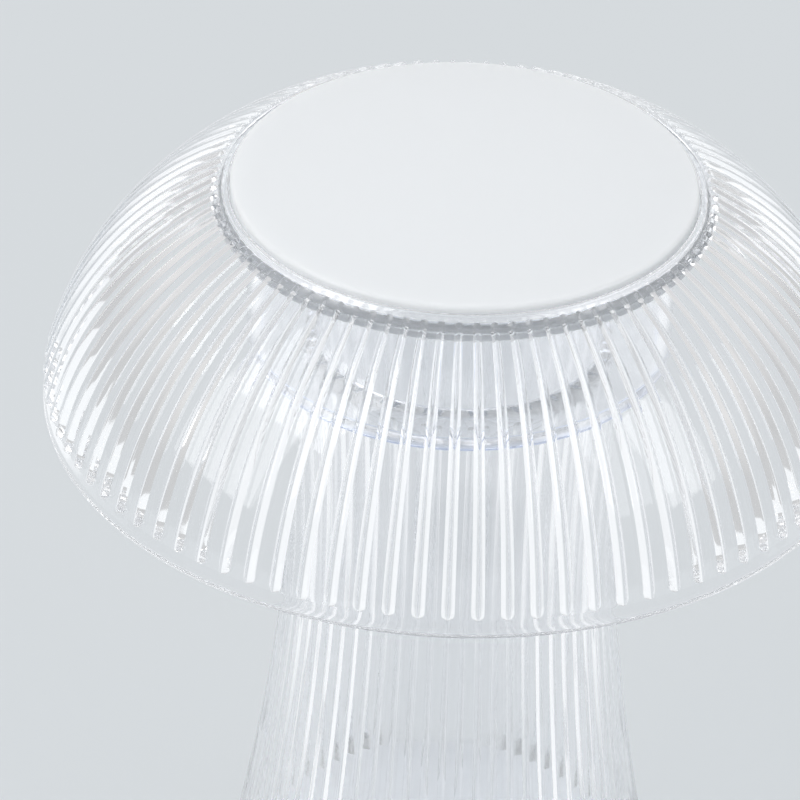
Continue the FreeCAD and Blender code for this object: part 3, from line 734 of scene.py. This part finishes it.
settle(polishedCopy("base_housing", 0.4, "baseShell"), "lamp", "whiteBase", "white_plastic", "base_housing")
settle(polishedCopy("base_cover", 0.25, "baseCover"), "lamp", "whiteBase", "white_plastic", "base_cover")
settle(polishedCopy("base_pad", 0.4, "rubberFoot"), "lamp", "rubber", "rubber", "base_pad")
settle(polishedCopy("power_button", 0.35, "pushButton"), "button", "whiteBase", "white_plastic", "power_button")
settle(polishedCopy("charging_socket_shell", 0.12, "socketShell"), "lamp", "steel", "steel", "charging_socket_shell")
print("base made")

keptNodes = {
    "base_screws": "steel",
    "ballast_plate": "ballastSteel",
    "battery_tray": "blackPlastic",
    "battery_cell": "foil",
    "battery_foam": "foam",
    "control_board": "board",
    "control_chip": "blackPlastic",
    "battery_plug_socket": "whiteBase",
    "charging_socket_tongue": "blackPlastic",
    "button_switch": "blackPlastic",
    "switch_plunger": "blackPlastic",
    "led_board": "ledBoard",
    "led_emitters": "phosphor",
}
for node, finish in keptNodes.items():
    for slot in nodes[node].material_slots:
        slot.material = finishes[finish]
print("inner pieces finished")


# ---- floor, light and camera

studio = {
    "backdrop": (0.684, 0.714, 0.736),
    "floorSize": 1.8,
    "shadowShare": 0.3,
    "boards": {"from": 0.12, "to": 0.16, "colour": (1.1, 1.12, 1.14)},
    "tent": 1.35,
    "mirroredTent": 0.8,
    "opening": (0.1, -1.0, 0.35),
}


def makeFloor():
    deselectAll()
    bpy.ops.mesh.primitive_plane_add(size=studio["floorSize"], location=(0, 0, 0))
    floor = bpy.context.object
    floor.name = "studioFloor"
    material, tree, shader, output = startMaterial("studioFloor")
    shader.inputs["Base Color"].default_value = (*studio["backdrop"], 1.0)
    shader.inputs["Roughness"].default_value = 1.0
    shader.inputs["Specular IOR Level"].default_value = 0.0
    # white boards on both sides of the picture, for the ribs to bend into view
    glow = tree.nodes.new("ShaderNodeEmission")
    place = tree.nodes.new("ShaderNodeTexCoord").outputs["Object"]
    parts = tree.nodes.new("ShaderNodeSeparateXYZ")
    tree.links.new(place, parts.inputs["Vector"])
    aside = mathNode(tree, "ABSOLUTE", parts.outputs["X"])
    boards = spread(tree, aside, studio["boards"]["from"], studio["boards"]["to"], 0, 1)
    path = tree.nodes.new("ShaderNodeLightPath")
    unseen = mathNode(tree, "SUBTRACT", 1, path.outputs["Is Camera Ray"])
    boards = mathNode(tree, "MULTIPLY", boards, unseen)
    tree.links.new(
        mixColours(tree, boards, studio["backdrop"], studio["boards"]["colour"]),
        glow.inputs["Color"],
    )
    seen = mathNode(tree, "MAXIMUM", path.outputs["Is Camera Ray"], path.outputs["Is Glossy Ray"])
    seen = mathNode(tree, "MAXIMUM", seen, path.outputs["Is Transmission Ray"])
    seen = mathNode(tree, "MULTIPLY", seen, 1 - studio["shadowShare"])
    mix = tree.nodes.new("ShaderNodeMixShader")
    tree.links.new(seen, mix.inputs[0])
    tree.links.new(shader.outputs[0], mix.inputs[1])
    tree.links.new(glow.outputs[0], mix.inputs[2])
    tree.links.new(mix.outputs[0], output.inputs["Surface"])
    floor.data.materials.append(material)


def softBox(name, place, aim, width, height, power, colour=(1, 1, 1), sheen=False):
    deselectAll()
    bpy.ops.object.light_add(type="AREA", location=place)
    lamp = bpy.context.object
    lamp.name = name
    lamp.data.shape = "RECTANGLE"
    lamp.data.size = width
    lamp.data.size_y = height
    lamp.data.energy = power
    lamp.data.color = colour
    direction = Vector(aim) - Vector(place)
    lamp.rotation_euler = direction.to_track_quat("-Z", "Y").to_euler()
    lamp.visible_diffuse = not sheen  # the sheens only show in the clear walls
    lamp.visible_glossy = sheen
    return lamp


def makeWorld():
    # a white tent all round: what the clear walls mirror and bend is brighter than the backdrop
    world = bpy.data.worlds.new("studioWorld")
    bpy.context.scene.world = world
    world.use_nodes = True
    tree = world.node_tree
    light = tree.nodes["Background"]
    light.inputs["Color"].default_value = (0.95, 0.98, 1.0, 1.0)
    light.inputs["Strength"].default_value = 0.64
    plain = tree.nodes.new("ShaderNodeBackground")
    plain.inputs["Color"].default_value = (*studio["backdrop"], 1.0)
    tent = tree.nodes.new("ShaderNodeBackground")
    direction = tree.nodes.new("ShaderNodeTexCoord").outputs["Generated"]
    parts = tree.nodes.new("ShaderNodeSeparateXYZ")
    tree.links.new(direction, parts.inputs["Vector"])
    ramp = tree.nodes.new("ShaderNodeValToRGB")
    stops = ramp.color_ramp.elements
    stops[0].position, stops[0].color = 0.0, (0.76, 0.77, 0.78, 1)
    stops[1].position, stops[1].color = 1.0, (0.75, 0.77, 0.8, 1)
    middle = stops.new(0.3)
    middle.color = (1.0, 1.0, 1.0, 1)
    tree.links.new(parts.outputs["Z"], ramp.inputs["Fac"])
    # the tent's dark opening, low down behind the camera
    opening = tree.nodes.new("ShaderNodeVectorMath")
    opening.operation = "DOT_PRODUCT"
    opening.inputs[1].default_value = Vector(studio["opening"]).normalized()
    tree.links.new(direction, opening.inputs[0])
    shut = spread(tree, opening.outputs["Value"], 0.95, 0.985, 1.0, 0.12)
    dimmed = tree.nodes.new("ShaderNodeVectorMath")
    dimmed.operation = "SCALE"
    tree.links.new(ramp.outputs["Color"], dimmed.inputs[0])
    tree.links.new(shut, dimmed.inputs["Scale"])
    tree.links.new(dimmed.outputs[0], tent.inputs["Color"])
    path = tree.nodes.new("ShaderNodeLightPath")
    # mirrored straight off a wall the tent is dimmer than through it
    strength = spread(
        tree, path.outputs["Is Glossy Ray"], 0, 1, studio["tent"], studio["mirroredTent"]
    )
    tree.links.new(strength, tent.inputs["Strength"])
    # plain light for every dull surface, also for one behind clear walls
    lit = mathNode(tree, "GREATER_THAN", path.outputs["Diffuse Depth"], 0.5)
    first = tree.nodes.new("ShaderNodeMixShader")
    tree.links.new(lit, first.inputs[0])
    tree.links.new(tent.outputs[0], first.inputs[1])
    tree.links.new(light.outputs[0], first.inputs[2])
    second = tree.nodes.new("ShaderNodeMixShader")
    tree.links.new(path.outputs["Is Camera Ray"], second.inputs[0])
    tree.links.new(first.outputs[0], second.inputs[1])
    tree.links.new(plain.outputs[0], second.inputs[2])
    tree.links.new(second.outputs[0], tree.nodes["World Output"].inputs["Surface"])


# the photographed view, in radii of the white disc from the centre of its face
view = {
    "unit": 0.048,
    "faceHeight": 0.212,
    "back": 16.802,
    "up": 10.2728,
    "pan": -0.0147,
    "tilt": 0.5971,
    "roll": 0.0310,
    "pixels": 4624.15,
    "frame": 800,
}


def makeCamera():
    pan, tilt, roll = view["pan"], view["tilt"], view["roll"]
    forward = Vector((
        math.sin(pan) * math.cos(tilt), math.cos(pan) * math.cos(tilt), -math.sin(tilt)
    ))
    level = Vector((math.cos(pan), -math.sin(pan), 0))
    upright = level.cross(forward)
    across = math.cos(roll) * level + math.sin(roll) * upright
    upward = -math.sin(roll) * level + math.cos(roll) * upright
    deselectAll()
    bpy.ops.object.camera_add()
    camera = bpy.context.object
    camera.name = "photoCamera"
    camera.data.sensor_width = 36
    camera.data.lens = view["pixels"] / view["frame"] * 36
    camera.data.clip_start = 0.01
    camera.data.clip_end = 50
    place = Vector((0, -view["back"], view["up"])) * view["unit"]
    place.z += view["faceHeight"]
    turn = Matrix((across, upward, -forward)).transposed().to_4x4()
    camera.matrix_world = Matrix.Translation(place) @ turn
    bpy.context.scene.camera = camera


makeFloor()
softBox("keyLight", (-0.9, -0.5, 1.3), (0, 0, 0.15), 0.9, 0.7, 8.0)
softBox("fillLight", (1.1, -0.7, 0.9), (0, 0, 0.15), 0.6, 0.8, 2.9, (0.96, 0.98, 1.0))
softBox("backLight", (0.2, 1.2, 0.9), (0, 0, 0.15), 1.0, 0.6, 2.2)
softBox("leftSheen", (-1.2, -0.5, 0.8), (0, 0, 0.18), 0.7, 0.9, 4.0, sheen=True)
softBox("rightSheen", (1.2, -0.5, 0.8), (0, 0, 0.18), 0.4, 0.8, 2.0, sheen=True)
makeWorld()
makeCamera()
bpy.context.scene.view_settings.view_transform = "Standard"
# light runs far along inside the clear walls and ribs before it leaves them
bpy.context.scene.cycles.max_bounces = 64
bpy.context.scene.cycles.transmission_bounces = 64
bpy.context.scene.cycles.glossy_bounces = 64
print("studio made")
